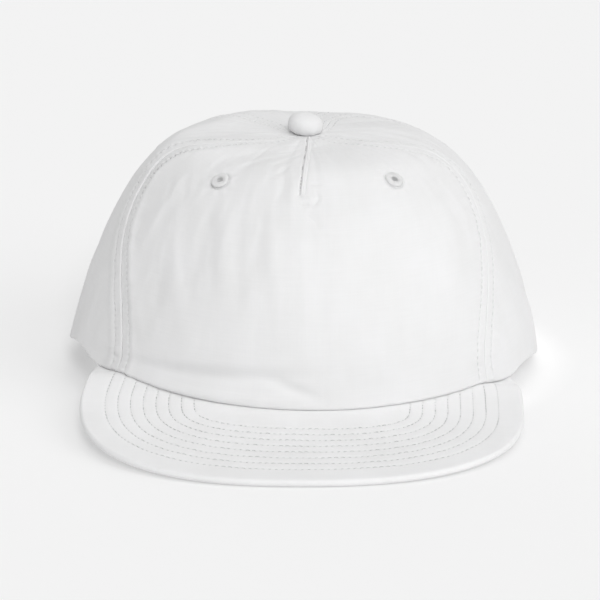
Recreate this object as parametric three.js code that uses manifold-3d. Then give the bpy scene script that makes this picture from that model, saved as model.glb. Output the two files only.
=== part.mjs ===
import * as THREE from "three";
import Module from "manifold-3d";

// A surf cap with five crown panels, resting on its brim and its back hem.
// Millimetres, Z up, and the front of the cap faces -Y.

// Crown cloth
const WALL = 1.5;
const GAP = 0.3;
// Sections of the crown from the hem up to the ring under the button. The height is nominal, side,
// front and back are the reaches from the middle, and the seams are in degrees from the front.
const SECTIONS = [
  { height: 0.0, side: 95.8, front: 89.0, back: 87.0, frontSeam: 50.0, backSeam: 128 },
  { height: 16.5, side: 93.2, front: 89.3, back: 88.5, frontSeam: 51.0, backSeam: 127 },
  { height: 31.5, side: 89.5, front: 88.0, back: 88.0, frontSeam: 54.5, backSeam: 126 },
  { height: 46.5, side: 84.8, front: 85.0, back: 85.7, frontSeam: 60.0, backSeam: 125 },
  { height: 59.5, side: 79.7, front: 80.5, back: 81.4, frontSeam: 66.0, backSeam: 124 },
  { height: 70.8, side: 74.0, front: 74.5, back: 75.0, frontSeam: 71.0, backSeam: 123 },
  { height: 80.3, side: 67.2, front: 67.0, back: 67.1, frontSeam: 75.5, backSeam: 123 },
  { height: 87.9, side: 59.6, front: 57.5, back: 57.5, frontSeam: 77.5, backSeam: 124 },
  { height: 94.1, side: 49.5, front: 46.0, back: 46.4, frontSeam: 74.0, backSeam: 127 },
  { height: 97.5, side: 34.0, front: 31.5, back: 31.7, frontSeam: 60.0, backSeam: 130 },
  { height: 98.2, side: 17.5, front: 17.0, back: 17.0, frontSeam: 44.0, backSeam: 126 },
  { height: 97.7, side: 8.0, front: 8.0, back: 8.0, frontSeam: 37.0, backSeam: 112 },
  { height: 97.1, side: 3.0, front: 3.0, back: 3.0, frontSeam: 36.0, backSeam: 108 },
];
const TOP_HEIGHT = 98.2;
const LEAN = 1.5;
const HEM_FADE_HEIGHT = 75;
// Columns and rows of each panel's grid, and the step that the normals are measured over
const FRONT_COLUMNS = 26;
const SIDE_COLUMNS = 14;
const BACK_COLUMNS = 12;
const ROWS = 20;
const NORMAL_STEP = 0.002;

// Soft folds of the crown cloth: the middle in degrees and as a share of the way up, the half
// widths, how a level fold climbs per degree, how an upright one leans, and the lift outwards.
const FOLDS = [
  { angle: -19, share: 0.07, wide: 15, tall: 0.017, climb: 0.0011, lean: 0, lift: -1.3 },
  { angle: -2, share: 0.056, wide: 6, tall: 0.015, climb: -0.0038, lean: 0, lift: -0.9 },
  { angle: -17, share: 0.03, wide: 17, tall: 0.02, climb: 0.0006, lean: 0, lift: 1.1 },
  { angle: -57, share: 0.29, wide: 2.6, tall: 0.13, climb: 0, lean: -75, lift: 0.6 },
  { angle: -41.5, share: 0.35, wide: 3.5, tall: 0.16, climb: 0, lean: -47, lift: 0.5 },
  { angle: -25, share: 0.37, wide: 3.5, tall: 0.16, climb: 0, lean: -30, lift: 0.5 },
  { angle: -9.5, share: 0.42, wide: 3.0, tall: 0.14, climb: 0, lean: -12, lift: 0.5 },
  { angle: -95, share: 0.66, wide: 20, tall: 0.11, climb: 0, lean: 0, lift: 1.2 },
  { angle: -128, share: 0.66, wide: 20, tall: 0.07, climb: 0, lean: 0, lift: 1.3 },
  { angle: -92, share: 0.08, wide: 30, tall: 0.11, climb: 0, lean: 0, lift: -0.9 },
  { angle: 95, share: 0.62, wide: 20, tall: 0.08, climb: 0, lean: 0, lift: -0.7 },
  { angle: 95, share: 0.78, wide: 16, tall: 0.06, climb: 0, lean: 0, lift: 1.0 },
  { angle: 85, share: 0.06, wide: 14, tall: 0.1, climb: 0, lean: 0, lift: 0.7 },
];

// Hem. The cap sits a little twisted, so its right side is lower than its left.
const SIDE_HEM = 5.3;
const TWIST = 2.7;
const BRIM_END_ANGLE = 60;
const BRIM_DROOP_ANGLE = 74;
const SIDE_HEM_ANGLE = 100;
const HEM_DROP_START = 95;
const HEM_FLAT_ANGLE = 130;

// Brim. It rests on its front edge and rises towards the crown.
const BRIM_HALF = 87.5;
const BRIM_LENGTH = 61.3;
const BRIM_SETBACK = 6.6;
const BRIM_POWER = 2.36;
const BRIM_SIDE_REACH = 125;
const BRIM_BACK_LEFT = -45.5;
const BRIM_BACK_RIGHT = -41.5;
const BRIM_BACK_SHIFT = 1.2;
const BRIM_SHIFT_END = -55;
const BRIM_THICKNESS = 3.4;
const BRIM_EDGE = 1.2;
const BRIM_UNDERLAP = 2.2;
const BRIM_SLOPE = THREE.MathUtils.degToRad(6.5);
const BRIM_CAMBER = 1.0;
const BRIM_DROOP = 3.4;
const BRIM_DROOP_START = -62;
const BRIM_DROOP_END = -45.5;
const BRIM_REST = 0.02;
const BRIM_TWIST_HOLD = 1.35;
const BRIM_COLUMNS = 56;
const BRIM_ROWS = 7;
const BRIM_FRONT_STEPS = 40;
const BRIM_SIDE_STEPS = 6;
const BRIM_BACK_STEPS = 48;

// Arched opening at the back, with its strap
const ARCH_FOOT = 0.5;
const ARCH_TOP = 0.26;
const STRAP_LOW = 0.013;
const STRAP_HIGH = 0.105;
const STRAP_ANGLE = 35;
const STRAP_WALL = 1.3;
const STRAP_GAP = 0.8;
const STRAP_COLUMNS = 26;
const STRAP_ROWS = 2;
const BUCKLE_ANGLE = 170;
const BUCKLE_WIDTH = 9;
const BUCKLE_HEIGHT = 22;
const BUCKLE_DEPTH = 5.6;
const BUCKLE_BAR = 1.5;
const BUCKLE_STEP = 0.02;

// Button on top
const BUTTON_PROFILE = [
  { radius: 5.6, height: 0.0 },
  { radius: 6.6, height: 0.7 },
  { radius: 7.05, height: 2.0 },
  { radius: 6.9, height: 3.5 },
  { radius: 6.2, height: 5.0 },
  { radius: 4.9, height: 6.3 },
  { radius: 2.9, height: 7.1 },
  { radius: 0.0, height: 7.4 },
];
const BUTTON_SHARE = 0.91;
const BUTTON_LIFT = 0.5;
const SHANK_RADIUS = 2.0;
const SHANK_DEPTH = 4.0;
const BUTTON_SEGMENTS = 32;

// Eyelets
const EYELETS = [
  { name: "eyelet_left", share: 0.619, angle: -38.0 },
  { name: "eyelet_right", share: 0.615, angle: 38.0 },
];
const EYELET_RADIUS = 3.7;
const EYELET_HOLE = 1.1;
const EYELET_HEIGHT = 0.9;
const EYELET_SEGMENTS = 24;
const EYELET_RING_STEPS = 8;
const CUT_RADIUS = 1.3;
const CUT_LENGTH = 8;

const wasm = await Module();
wasm.setup();

// A column's value between the sections, on a smooth curve through them
function smoothValue(column, share) {
  const last = SECTIONS.length - 1;
  const place = THREE.MathUtils.clamp(share, 0, 1) * last;
  const k = Math.min(Math.floor(place), last - 1);
  const t = place - k;
  const value = (row) => SECTIONS[row][column];
  const start = value(k);
  const end = value(k + 1);
  const leaving = k > 0 ? (end - value(k - 1)) / 2 : end - start;
  const arriving = k + 2 <= last ? (value(k + 2) - start) / 2 : end - start;
  const eased = t * t * (3 - 2 * t);
  return start * (1 - eased) + end * eased
    + leaving * t * (1 - t) * (1 - t) - arriving * t * t * (1 - t);
}

function eased(from, to, value) {
  return THREE.MathUtils.smoothstep(value, from, to);
}

// Height of the brim's top face, whose back corners droop
function brimHeight(x, y) {
  const forward = -y - SECTIONS[0].front;
  const rise = BRIM_REST + BRIM_THICKNESS + (BRIM_LENGTH - BRIM_EDGE) * Math.tan(BRIM_SLOPE);
  const held = THREE.MathUtils.clamp(1 - (forward + BRIM_LENGTH) / (2 * BRIM_LENGTH), 0, 1);
  const twist = TWIST * (x / BRIM_HALF) * held * BRIM_TWIST_HOLD;
  const droop = BRIM_DROOP * eased(BRIM_DROOP_START, BRIM_DROOP_END, y);
  const camber = BRIM_CAMBER * (x / BRIM_HALF) ** 2;
  return rise - forward * Math.tan(BRIM_SLOPE) - camber - twist - droop;
}

// Height of the hem: on the brim in front, lower at the sides and flat on the floor at the back
function hemHeight(angle) {
  const degrees = Math.abs(THREE.MathUtils.radToDeg(angle));
  const x = SECTIONS[0].side * Math.sin(angle);
  const y = -SECTIONS[0].front * Math.cos(angle);
  const past = eased(BRIM_END_ANGLE, SIDE_HEM_ANGLE, degrees);
  const rear = eased(HEM_DROP_START, HEM_FLAT_ANGLE, degrees);
  const side = (SIDE_HEM - TWIST * Math.sin(angle)) * (1 - rear);
  const recovered = BRIM_DROOP * eased(BRIM_END_ANGLE, BRIM_DROOP_ANGLE, degrees);
  return (brimHeight(x, y) + GAP + recovered) * (1 - past) + side * past;
}

// How far the soft folds lift the cloth at a place
function foldLift(share, angle) {
  const degrees = THREE.MathUtils.radToDeg(angle);
  let lift = 0;
  for (const fold of FOLDS) {
    const beside = degrees - fold.angle;
    const above = share - fold.share;
    const across = (beside - fold.lean * above) / fold.wide;
    const up = (above - fold.climb * beside) / fold.tall;
    lift += fold.lift * Math.exp(-across * across - up * up);
  }
  return lift;
}

// A point of the crown's outer face, without the folds
function crownPoint(share, angle) {
  const height = smoothValue("height", share);
  const reach = smoothValue(Math.cos(angle) > 0 ? "front" : "back", share);
  const held = (1 - THREE.MathUtils.clamp(height / HEM_FADE_HEIGHT, 0, 1)) ** 2;
  return new THREE.Vector3(
    smoothValue("side", share) * Math.sin(angle) + LEAN * height / TOP_HEIGHT,
    -reach * Math.cos(angle),
    height + hemHeight(angle) * held,
  );
}

function crownNormal(share, angle) {
  const low = Math.max(share - NORMAL_STEP, 0);
  const high = Math.min(share + NORMAL_STEP, 1);
  const up = crownPoint(high, angle).sub(crownPoint(low, angle));
  const around = crownPoint(share, angle + NORMAL_STEP).sub(crownPoint(share, angle - NORMAL_STEP));
  return around.cross(up).normalize();
}

// A point at a depth below the crown's outer face
function clothPoint(share, angle, depth) {
  const outer = crownPoint(share, angle);
  const lift = foldLift(share, angle) - depth;
  const point = outer.clone().addScaledVector(crownNormal(share, angle), lift);
  if (share <= 0) point.z = outer.z;
  return point;
}

// Closed body between an outer and an inner grid of points, indexed [column][row]
function shellGeometry(outer, inner) {
  const columns = outer.length - 1;
  const rows = outer[0].length - 1;
  const points = [...outer.flat(), ...inner.flat()];
  const half = outer.flat().length;
  const index = [];
  const quad = (a, b, c, d) => index.push(a, b, c, a, c, d);
  const at = (i, j) => i * (rows + 1) + j;
  for (let i = 0; i < columns; i += 1) {
    for (let j = 0; j < rows; j += 1) {
      quad(at(i, j), at(i + 1, j), at(i + 1, j + 1), at(i, j + 1));
      quad(half + at(i, j), half + at(i, j + 1), half + at(i + 1, j + 1), half + at(i + 1, j));
    }
    quad(at(i, 0), half + at(i, 0), half + at(i + 1, 0), at(i + 1, 0));
    quad(at(i, rows), at(i + 1, rows), half + at(i + 1, rows), half + at(i, rows));
  }
  for (let j = 0; j < rows; j += 1) {
    quad(at(0, j), at(0, j + 1), half + at(0, j + 1), half + at(0, j));
    quad(at(columns, j), half + at(columns, j), half + at(columns, j + 1), at(columns, j + 1));
  }
  const geometry = new THREE.BufferGeometry().setFromPoints(points);
  geometry.setIndex(index);
  return geometry;
}

function grid(columns, rows, point) {
  const lines = [];
  for (let i = 0; i <= columns; i += 1) {
    const line = [];
    for (let j = 0; j <= rows; j += 1) line.push(point(i / columns, j / rows));
    lines.push(line);
  }
  return lines;
}

// One crown panel between two seams. place gives the share of the way up and across.
function panelGeometry(leftSeam, rightSeam, columns, place) {
  const at = (across, up, depth) => {
    const [share, part] = place(across, up);
    const radius = smoothValue("side", share);
    const inset = THREE.MathUtils.radToDeg(GAP / 2 / radius);
    const left = leftSeam(share) + inset;
    const right = rightSeam(share) - inset;
    return clothPoint(share, THREE.MathUtils.degToRad(left + (right - left) * part), depth);
  };
  return shellGeometry(
    grid(columns, ROWS, (across, up) => at(across, up, 0)),
    grid(columns, ROWS, (across, up) => at(across, up, WALL)),
  );
}

function manifoldOf(geometry) {
  const mesh = new wasm.Mesh({
    numProp: 3,
    vertProperties: new Float32Array(geometry.attributes.position.array),
    triVerts: new Uint32Array(geometry.index.array),
  });
  return new wasm.Manifold(mesh);
}

function geometryOf(manifold) {
  const mesh = manifold.getMesh();
  const geometry = new THREE.BufferGeometry();
  geometry.setAttribute("position", new THREE.BufferAttribute(new Float32Array(mesh.vertProperties), 3));
  geometry.setIndex(new THREE.BufferAttribute(new Uint32Array(mesh.triVerts), 1));
  return geometry;
}

const frontSeam = (share) => smoothValue("frontSeam", share);
const backSeam = (share) => smoothValue("backSeam", share);
const plainPlace = (across, up) => [up, across];

// Turns the Z axis onto the crown's normal at a place, a little above the cloth
function crownFrame(share, angle, lift) {
  const normal = crownNormal(share, angle);
  const turn = new THREE.Quaternion().setFromUnitVectors(new THREE.Vector3(0, 0, 1), normal);
  const origin = clothPoint(share, angle, -lift);
  return new THREE.Matrix4().compose(origin, turn, new THREE.Vector3(1, 1, 1));
}

function frontPanel() {
  const cloth = panelGeometry((s) => -frontSeam(s), frontSeam, FRONT_COLUMNS, plainPlace);
  let body = manifoldOf(cloth);
  for (const eyelet of EYELETS) {
    const frame = crownFrame(eyelet.share, THREE.MathUtils.degToRad(eyelet.angle), 0);
    const cut = wasm.Manifold.cylinder(CUT_LENGTH, CUT_RADIUS, CUT_RADIUS, EYELET_SEGMENTS, true);
    body = body.subtract(cut.transform(frame.elements));
  }
  return geometryOf(body);
}

function sidePanel(side) {
  if (side > 0) return panelGeometry(frontSeam, backSeam, SIDE_COLUMNS, plainPlace);
  return panelGeometry((s) => -backSeam(s), (s) => -frontSeam(s), SIDE_COLUMNS, plainPlace);
}

// The back panel's lower edge runs along the hem to the arch's foot, then up the arch.
function backPlace(across, up) {
  const turn = Math.max(0, (across - ARCH_FOOT) / (1 - ARCH_FOOT)) * Math.PI / 2;
  const low = across > ARCH_FOOT ? 1 - (1 - ARCH_FOOT) * Math.cos(turn) : across;
  const start = ARCH_TOP * Math.sin(turn);
  return [start + (1 - start) * up, low + (across - low) * up];
}

function backPanel(side) {
  if (side > 0) return panelGeometry(backSeam, () => 180, BACK_COLUMNS, backPlace);
  const mirrored = (across, up) => {
    const [share, part] = backPlace(1 - across, up);
    return [share, 1 - part];
  };
  return panelGeometry(() => -180, (s) => -backSeam(s), BACK_COLUMNS, mirrored);
}

// Plan of the brim's outline from its left end round the front to its right end
function brimOutline(inset) {
  const half = BRIM_HALF - inset;
  const middle = -(SECTIONS[0].front - BRIM_SETBACK);
  const length = BRIM_LENGTH + BRIM_SETBACK - inset;
  const sidePoint = (side, backY, i) => {
    const y = backY + (middle - backY) * i / BRIM_SIDE_STEPS;
    const x = side * half * Math.sqrt(1 - ((y - middle) / BRIM_SIDE_REACH) ** 2);
    return new THREE.Vector3(x + BRIM_BACK_SHIFT * eased(middle, BRIM_SHIFT_END, y), y, 0);
  };
  const points = [];
  for (let i = 0; i < BRIM_SIDE_STEPS; i += 1) points.push(sidePoint(-1, BRIM_BACK_LEFT, i));
  for (let i = 0; i <= BRIM_FRONT_STEPS; i += 1) {
    const turn = Math.PI * (i / BRIM_FRONT_STEPS - 0.5);
    const x = half * Math.sign(turn) * Math.abs(Math.sin(turn)) ** (2 / BRIM_POWER);
    points.push(new THREE.Vector3(x, middle - length * Math.cos(turn) ** (2 / BRIM_POWER), 0));
  }
  for (let i = BRIM_SIDE_STEPS - 1; i >= 0; i -= 1) points.push(sidePoint(1, BRIM_BACK_RIGHT, i));
  return new THREE.CatmullRomCurve3(points).getSpacedPoints(BRIM_COLUMNS);
}

// Plan of the brim's back edge, which lies under the crown's wall
function brimBackEdge() {
  const start = -Math.acos(-BRIM_BACK_LEFT / SECTIONS[0].front);
  const end = Math.acos(-BRIM_BACK_RIGHT / SECTIONS[0].front);
  const points = [];
  for (let i = 0; i <= BRIM_BACK_STEPS; i += 1) {
    const angle = THREE.MathUtils.lerp(start, end, i / BRIM_BACK_STEPS);
    points.push(new THREE.Vector3(
      (SECTIONS[0].side - BRIM_UNDERLAP) * Math.sin(angle),
      -(SECTIONS[0].front - BRIM_UNDERLAP) * Math.cos(angle),
      0,
    ));
  }
  return new THREE.CatmullRomCurve3(points).getSpacedPoints(BRIM_COLUMNS);
}

function brim() {
  const edge = brimOutline(0);
  const face = brimOutline(BRIM_EDGE);
  const back = brimBackEdge();
  const at = (i, up, drop) => {
    const point = back[i].clone().lerp(face[i], up);
    point.z = brimHeight(point.x, point.y) - drop;
    return point;
  };
  const lines = [];
  for (let i = 0; i <= BRIM_COLUMNS; i += 1) {
    const rim = edge[i].clone();
    rim.z = brimHeight(rim.x, rim.y) - BRIM_THICKNESS / 2;
    const ring = [];
    for (let j = 0; j <= BRIM_ROWS; j += 1) ring.push(at(i, j / BRIM_ROWS, 0));
    ring.push(rim);
    for (let j = BRIM_ROWS; j >= 0; j -= 1) ring.push(at(i, j / BRIM_ROWS, BRIM_THICKNESS));
    lines.push(ring);
  }
  return loftGeometry(lines);
}

// Closed body through closed rings of points, with flat fans at both ends
function loftGeometry(rings) {
  const size = rings[0].length;
  const points = rings.flat();
  const index = [];
  for (let i = 0; i + 1 < rings.length; i += 1) {
    for (let j = 0; j < size; j += 1) {
      const next = (j + 1) % size;
      const a = i * size + j;
      const b = (i + 1) * size + j;
      const c = (i + 1) * size + next;
      const d = i * size + next;
      index.push(a, c, b, a, d, c);
    }
  }
  const last = (rings.length - 1) * size;
  for (let j = 0; j + 1 < size / 2; j += 1) {
    const far = size - 1 - j;
    for (const [base, flip] of [[0, true], [last, false]]) {
      const corners = [base + j, base + j + 1, base + far - 1, base + far];
      const pairs = [[corners[0], corners[1], corners[3]], [corners[1], corners[2], corners[3]]];
      for (const [a, b, c] of pairs) {
        if (a === b || b === c || a === c) continue;
        if (flip) index.push(a, c, b);
        else index.push(a, b, c);
      }
    }
  }
  const geometry = new THREE.BufferGeometry().setFromPoints(points);
  geometry.setIndex(index);
  return geometry;
}

function button() {
  const base = smoothValue("height", BUTTON_SHARE) + BUTTON_LIFT;
  const foot = base - SHANK_DEPTH;
  const profile = [
    new THREE.Vector2(0, foot),
    new THREE.Vector2(SHANK_RADIUS, foot),
    new THREE.Vector2(SHANK_RADIUS, base),
  ];
  for (const row of BUTTON_PROFILE) profile.push(new THREE.Vector2(row.radius, base + row.height));
  const geometry = new THREE.LatheGeometry(profile, BUTTON_SEGMENTS);
  geometry.rotateX(Math.PI / 2);
  geometry.translate(LEAN, 0, 0);
  return geometry;
}

function eyelet(row) {
  const middle = (EYELET_RADIUS + EYELET_HOLE) / 2;
  const half = (EYELET_RADIUS - EYELET_HOLE) / 2;
  const profile = [];
  for (let i = 0; i <= EYELET_RING_STEPS; i += 1) {
    const turn = Math.PI * i / EYELET_RING_STEPS;
    profile.push(new THREE.Vector2(middle + half * Math.cos(turn), EYELET_HEIGHT * Math.sin(turn)));
  }
  profile.push(profile[0].clone());
  const geometry = new THREE.LatheGeometry(profile, EYELET_SEGMENTS);
  geometry.rotateX(Math.PI / 2);
  geometry.applyMatrix4(crownFrame(row.share, THREE.MathUtils.degToRad(row.angle), GAP));
  return geometry;
}

// The strap lies inside the back panels and crosses the opening.
function strapPoint(across, up, depth) {
  const share = STRAP_LOW + (STRAP_HIGH - STRAP_LOW) * up;
  const angle = THREE.MathUtils.degToRad(180 + STRAP_ANGLE * (2 * across - 1));
  const inside = -WALL - STRAP_GAP - depth;
  const point = crownPoint(share, angle).addScaledVector(crownNormal(share, angle), inside);
  point.z = crownPoint(share, Math.PI).z;
  return point;
}

function backStrap() {
  return shellGeometry(
    grid(STRAP_COLUMNS, STRAP_ROWS, (across, up) => strapPoint(across, up, 0)),
    grid(STRAP_COLUMNS, STRAP_ROWS, (across, up) => strapPoint(across, up, STRAP_WALL)),
  );
}

// A rectangular slide with the strap through its slot
function strapBuckle() {
  const across = 0.5 + (BUCKLE_ANGLE - 180) / (2 * STRAP_ANGLE);
  const low = strapPoint(across, 0, STRAP_WALL / 2);
  const high = strapPoint(across, 1, STRAP_WALL / 2);
  const middle = low.clone().add(high).multiplyScalar(0.5);
  const up = high.clone().sub(low).normalize();
  const ahead = strapPoint(across + BUCKLE_STEP, 0.5, 0);
  const along = ahead.sub(strapPoint(across - BUCKLE_STEP, 0.5, 0)).normalize();
  const out = new THREE.Vector3().crossVectors(along, up).normalize();
  const frame = new THREE.Matrix4().makeBasis(along, up, out).setPosition(middle);
  const slot = [BUCKLE_HEIGHT - 2 * BUCKLE_BAR, BUCKLE_DEPTH - 2 * BUCKLE_BAR];
  const outer = wasm.Manifold.cube([BUCKLE_WIDTH, BUCKLE_HEIGHT, BUCKLE_DEPTH], true);
  const inner = wasm.Manifold.cube([BUCKLE_WIDTH + 1, slot[0], slot[1]], true);
  return geometryOf(outer.subtract(inner).transform(frame.elements));
}

function matt(colour, roughness = 0.9) {
  return new THREE.MeshStandardMaterial({ color: colour, roughness, metalness: 0 });
}

const PIECES = [
  { name: "front_panel", geometry: frontPanel(), material: matt(0xf0f0ee) },
  { name: "side_panel_left", geometry: sidePanel(-1), material: matt(0xecebea) },
  { name: "side_panel_right", geometry: sidePanel(1), material: matt(0xebecec) },
  { name: "back_panel_left", geometry: backPanel(-1), material: matt(0xe6e6e4) },
  { name: "back_panel_right", geometry: backPanel(1), material: matt(0xe4e5e6) },
  { name: "brim", geometry: brim(), material: matt(0xe2e2e0) },
  { name: "button", geometry: button(), material: matt(0xdcdcda) },
  { name: "eyelet_left", geometry: eyelet(EYELETS[0]), material: matt(0xd0d0ce) },
  { name: "eyelet_right", geometry: eyelet(EYELETS[1]), material: matt(0xd0d0ce) },
  { name: "back_strap", geometry: backStrap(), material: matt(0xdadad8) },
  { name: "strap_buckle", geometry: strapBuckle(), material: matt(0xc8c9cb, 0.4) },
];

const cap = new THREE.Group();
cap.name = "surf_cap";
for (const piece of PIECES) {
  const mesh = new THREE.Mesh(piece.geometry, piece.material);
  mesh.name = piece.name;
  cap.add(mesh);
}

// The origin is the middle of the bounding box's bottom face.
const box = new THREE.Box3().setFromObject(cap);
const middle = box.getCenter(new THREE.Vector3());
for (const mesh of cap.children) {
  mesh.geometry.translate(-middle.x, -middle.y, -box.min.z);
  mesh.geometry.computeVertexNormals();
}

export default cap;
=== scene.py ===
"""A surf cap of light cloth: five crown panels, a stitched brim, a covered button, two eyelets, and a
back strap with its slide. Sizes are millimetres in the crown's own frame: its origin is on the floor
under the middle of the crown, Z is up, and the front of the cap faces -Y."""
import math

import bpy
import numpy as np
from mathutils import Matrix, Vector


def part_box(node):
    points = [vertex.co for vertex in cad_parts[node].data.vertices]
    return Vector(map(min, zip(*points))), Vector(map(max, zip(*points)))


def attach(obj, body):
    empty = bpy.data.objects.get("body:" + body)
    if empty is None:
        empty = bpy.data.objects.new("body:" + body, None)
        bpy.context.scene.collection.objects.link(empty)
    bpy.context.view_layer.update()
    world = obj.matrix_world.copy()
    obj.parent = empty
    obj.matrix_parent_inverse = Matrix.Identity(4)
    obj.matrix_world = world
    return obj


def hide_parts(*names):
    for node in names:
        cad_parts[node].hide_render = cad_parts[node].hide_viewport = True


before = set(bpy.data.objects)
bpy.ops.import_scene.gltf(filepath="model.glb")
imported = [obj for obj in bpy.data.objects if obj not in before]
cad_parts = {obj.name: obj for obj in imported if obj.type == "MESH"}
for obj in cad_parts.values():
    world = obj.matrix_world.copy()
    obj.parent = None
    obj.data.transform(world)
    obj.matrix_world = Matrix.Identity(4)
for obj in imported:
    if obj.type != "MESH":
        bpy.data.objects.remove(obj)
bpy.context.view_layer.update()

MM = 0.001

# Crown: the nominal height of each section, its reaches from the middle, and the seams in degrees
# from the front, from the hem up to the ring under the button
SECTION_NAMES = ("height", "side", "front", "back", "front_seam", "back_seam")
SECTIONS = np.array([
    (0.0, 95.8, 89.0, 87.0, 50.0, 128),
    (16.5, 93.2, 89.3, 88.5, 51.0, 127),
    (31.5, 89.5, 88.0, 88.0, 54.5, 126),
    (46.5, 84.8, 85.0, 85.7, 60.0, 125),
    (59.5, 79.7, 80.5, 81.4, 66.0, 124),
    (70.8, 74.0, 74.5, 75.0, 71.0, 123),
    (80.3, 67.2, 67.0, 66.6, 75.5, 123),
    (87.9, 59.6, 57.5, 55.2, 77.5, 124),
    (94.1, 49.5, 46.0, 43.4, 74.0, 127),
    (97.5, 34.0, 31.5, 30.6, 60.0, 130),
    (98.2, 17.5, 17.0, 17.0, 44.0, 126),
    (97.7, 8.0, 8.0, 8.0, 37.0, 112),
    (97.1, 3.0, 3.0, 3.0, 36.0, 108),
])
HEM_SIDE = 95.8
HEM_FRONT = 89.0
TOP_HEIGHT = 98.2
CROWN_ARC = 150.0
LEAN = 1.5
HEM_FADE_HEIGHT = 75
WALL = 1.5
GAP = 0.3
NORMAL_STEP = 0.002
# The cloth gets plain under the button, between these shares of the way up
PLAIN_START, PLAIN_END = 0.93, 0.99
# The panels' inner grid is coarser than the outer one by this ratio, and each edge stays this far
# from its seam
SHELL_RATIO = 4
SEAM_INSET = 0.06

# Hem. The cap sits a little twisted, so its right side is lower than its left. Near the middle of the
# front its gap to the brim closes by a share, most at GAP_ANGLE degrees to each side.
SIDE_HEM = 5.3
TWIST = 2.7
BRIM_END_ANGLE = 60
BRIM_DROOP_ANGLE = 74
SIDE_HEM_ANGLE = 100
HEM_DROP_START = 95
HEM_FLAT_ANGLE = 130
GAP_CLOSING = 0.75
GAP_ANGLE = 6
GAP_SPREAD = 20

# Brim
BRIM_HALF = 87.5
BRIM_LENGTH = 61.3
BRIM_SETBACK = 6.6
BRIM_POWER = 2.36
BRIM_SIDE_REACH = 125
BRIM_BACK_LEFT = -45.5
BRIM_BACK_RIGHT = -41.5
BRIM_BACK_SHIFT = 1.2
BRIM_SHIFT_END = -55
BRIM_THICKNESS = 3.4
BRIM_EDGE = 1.2
BRIM_UNDERCUT = 1.4
BRIM_UNDERLAP = 2.2
BRIM_SLOPE = math.radians(6.5)
BRIM_CAMBER = 1.0
BRIM_DROOP = 3.4
BRIM_DROOP_START = -62
BRIM_DROOP_END = -45.5
BRIM_REST = 0.02
BRIM_TWIST_HOLD = 1.35
BRIM_FIRST_ROW = 10.0
BRIM_ROW_STEP = 5.0
BRIM_ROW_COUNT = 8
OUTLINE_POINTS = 500
# Least step between two lines of the brim's grid, where they run together under the crown
SQUEEZED_STEP = 0.03

# Back opening, strap and slide
ARCH_FOOT = 0.5
BACK_WANDER = math.radians(8)
BACK_SEAM_TURN = 20
BACK_SEAM_TURN_SHARE = 0.81
ARCH_TOP = 0.26
STRAP_LOW = 0.013
STRAP_HIGH = 0.105
STRAP_ANGLE = 35
STRAP_WALL = 1.3
STRAP_GAP = 0.8
STRAP_STITCH = 2.0
SLIDE_ANGLE = 170
SLIDE_WIDTH = 9
SLIDE_HEIGHT = 22
SLIDE_DEPTH = 5.6
SLIDE_BAR = 1.5

# Button: radius and height of its outline
BUTTON_OUTLINE = np.array([
    (4.4, -0.5), (5.8, 0.3), (6.7, 1.4), (7.1, 2.8), (6.95, 4.3), (6.2, 5.8), (4.8, 6.9), (2.7, 7.7),
    (0, 8.0),
])
BUTTON_SHARE = 0.91
BUTTON_TILT = 0.07
BUTTON_NOD = 0.05
SHANK_RADIUS = 2.0
SHANK_DEPTH = 4.0

# Eyelets: share of the way up the crown and degrees from the front
EYELETS = {"eyelet_left": (0.619, -38.0), "eyelet_right": (0.610, 38.0)}
EYELET_RADIUS = 3.7
EYELET_HOLE = 1.1
EYELET_HEIGHT = 0.9
CUT_RADIUS = 1.3
CUT_LENGTH = 8

# Soft folds: the middle in degrees and as a share of the way up, the half widths, how a level fold
# climbs per degree, how an upright one leans, and the lift outwards
FOLDS = [
    (8, -0.01, 44, 0.05, 0, 0, 1.2),
    (-25, 0.072, 21, 0.02, 0.0009, 0, -1.6),
    (-2, 0.056, 6, 0.018, -0.0038, 0, -0.9),
    (-28, 0.012, 22, 0.022, 0.0005, 0, 1.6),
    (-57, 0.29, 2.6, 0.13, 0, -75, 0.6),
    (-41.5, 0.35, 3.5, 0.16, 0, -47, 0.5),
    (-25, 0.37, 3.5, 0.16, 0, -30, 0.5),
    (-9.5, 0.42, 3.0, 0.14, 0, -12, 0.5),
    (-95, 0.61, 22, 0.09, 0, 0, 0.8),
    (180, 0.76, 28, 0.13, 0, 0, -1.2),
    (-180, 0.76, 28, 0.13, 0, 0, -1.2),
    (-142, 0.70, 24, 0.07, 0, 0, 1.1),
    (-36, 0.44, 22, 0.28, 0, 0, -2.3),
    (18, 0.66, 34, 0.06, 0, 0, 1.3),
    (20, 0.80, 32, 0.05, 0, 0, -0.9),
    (-92, 0.08, 30, 0.11, 0, 0, -0.9),
    (95, 0.62, 20, 0.08, 0, 0, -0.7),
    (95, 0.78, 16, 0.06, 0, 0, 1.0),
    (85, 0.06, 14, 0.10, 0, 0, 0.7),
]

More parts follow.
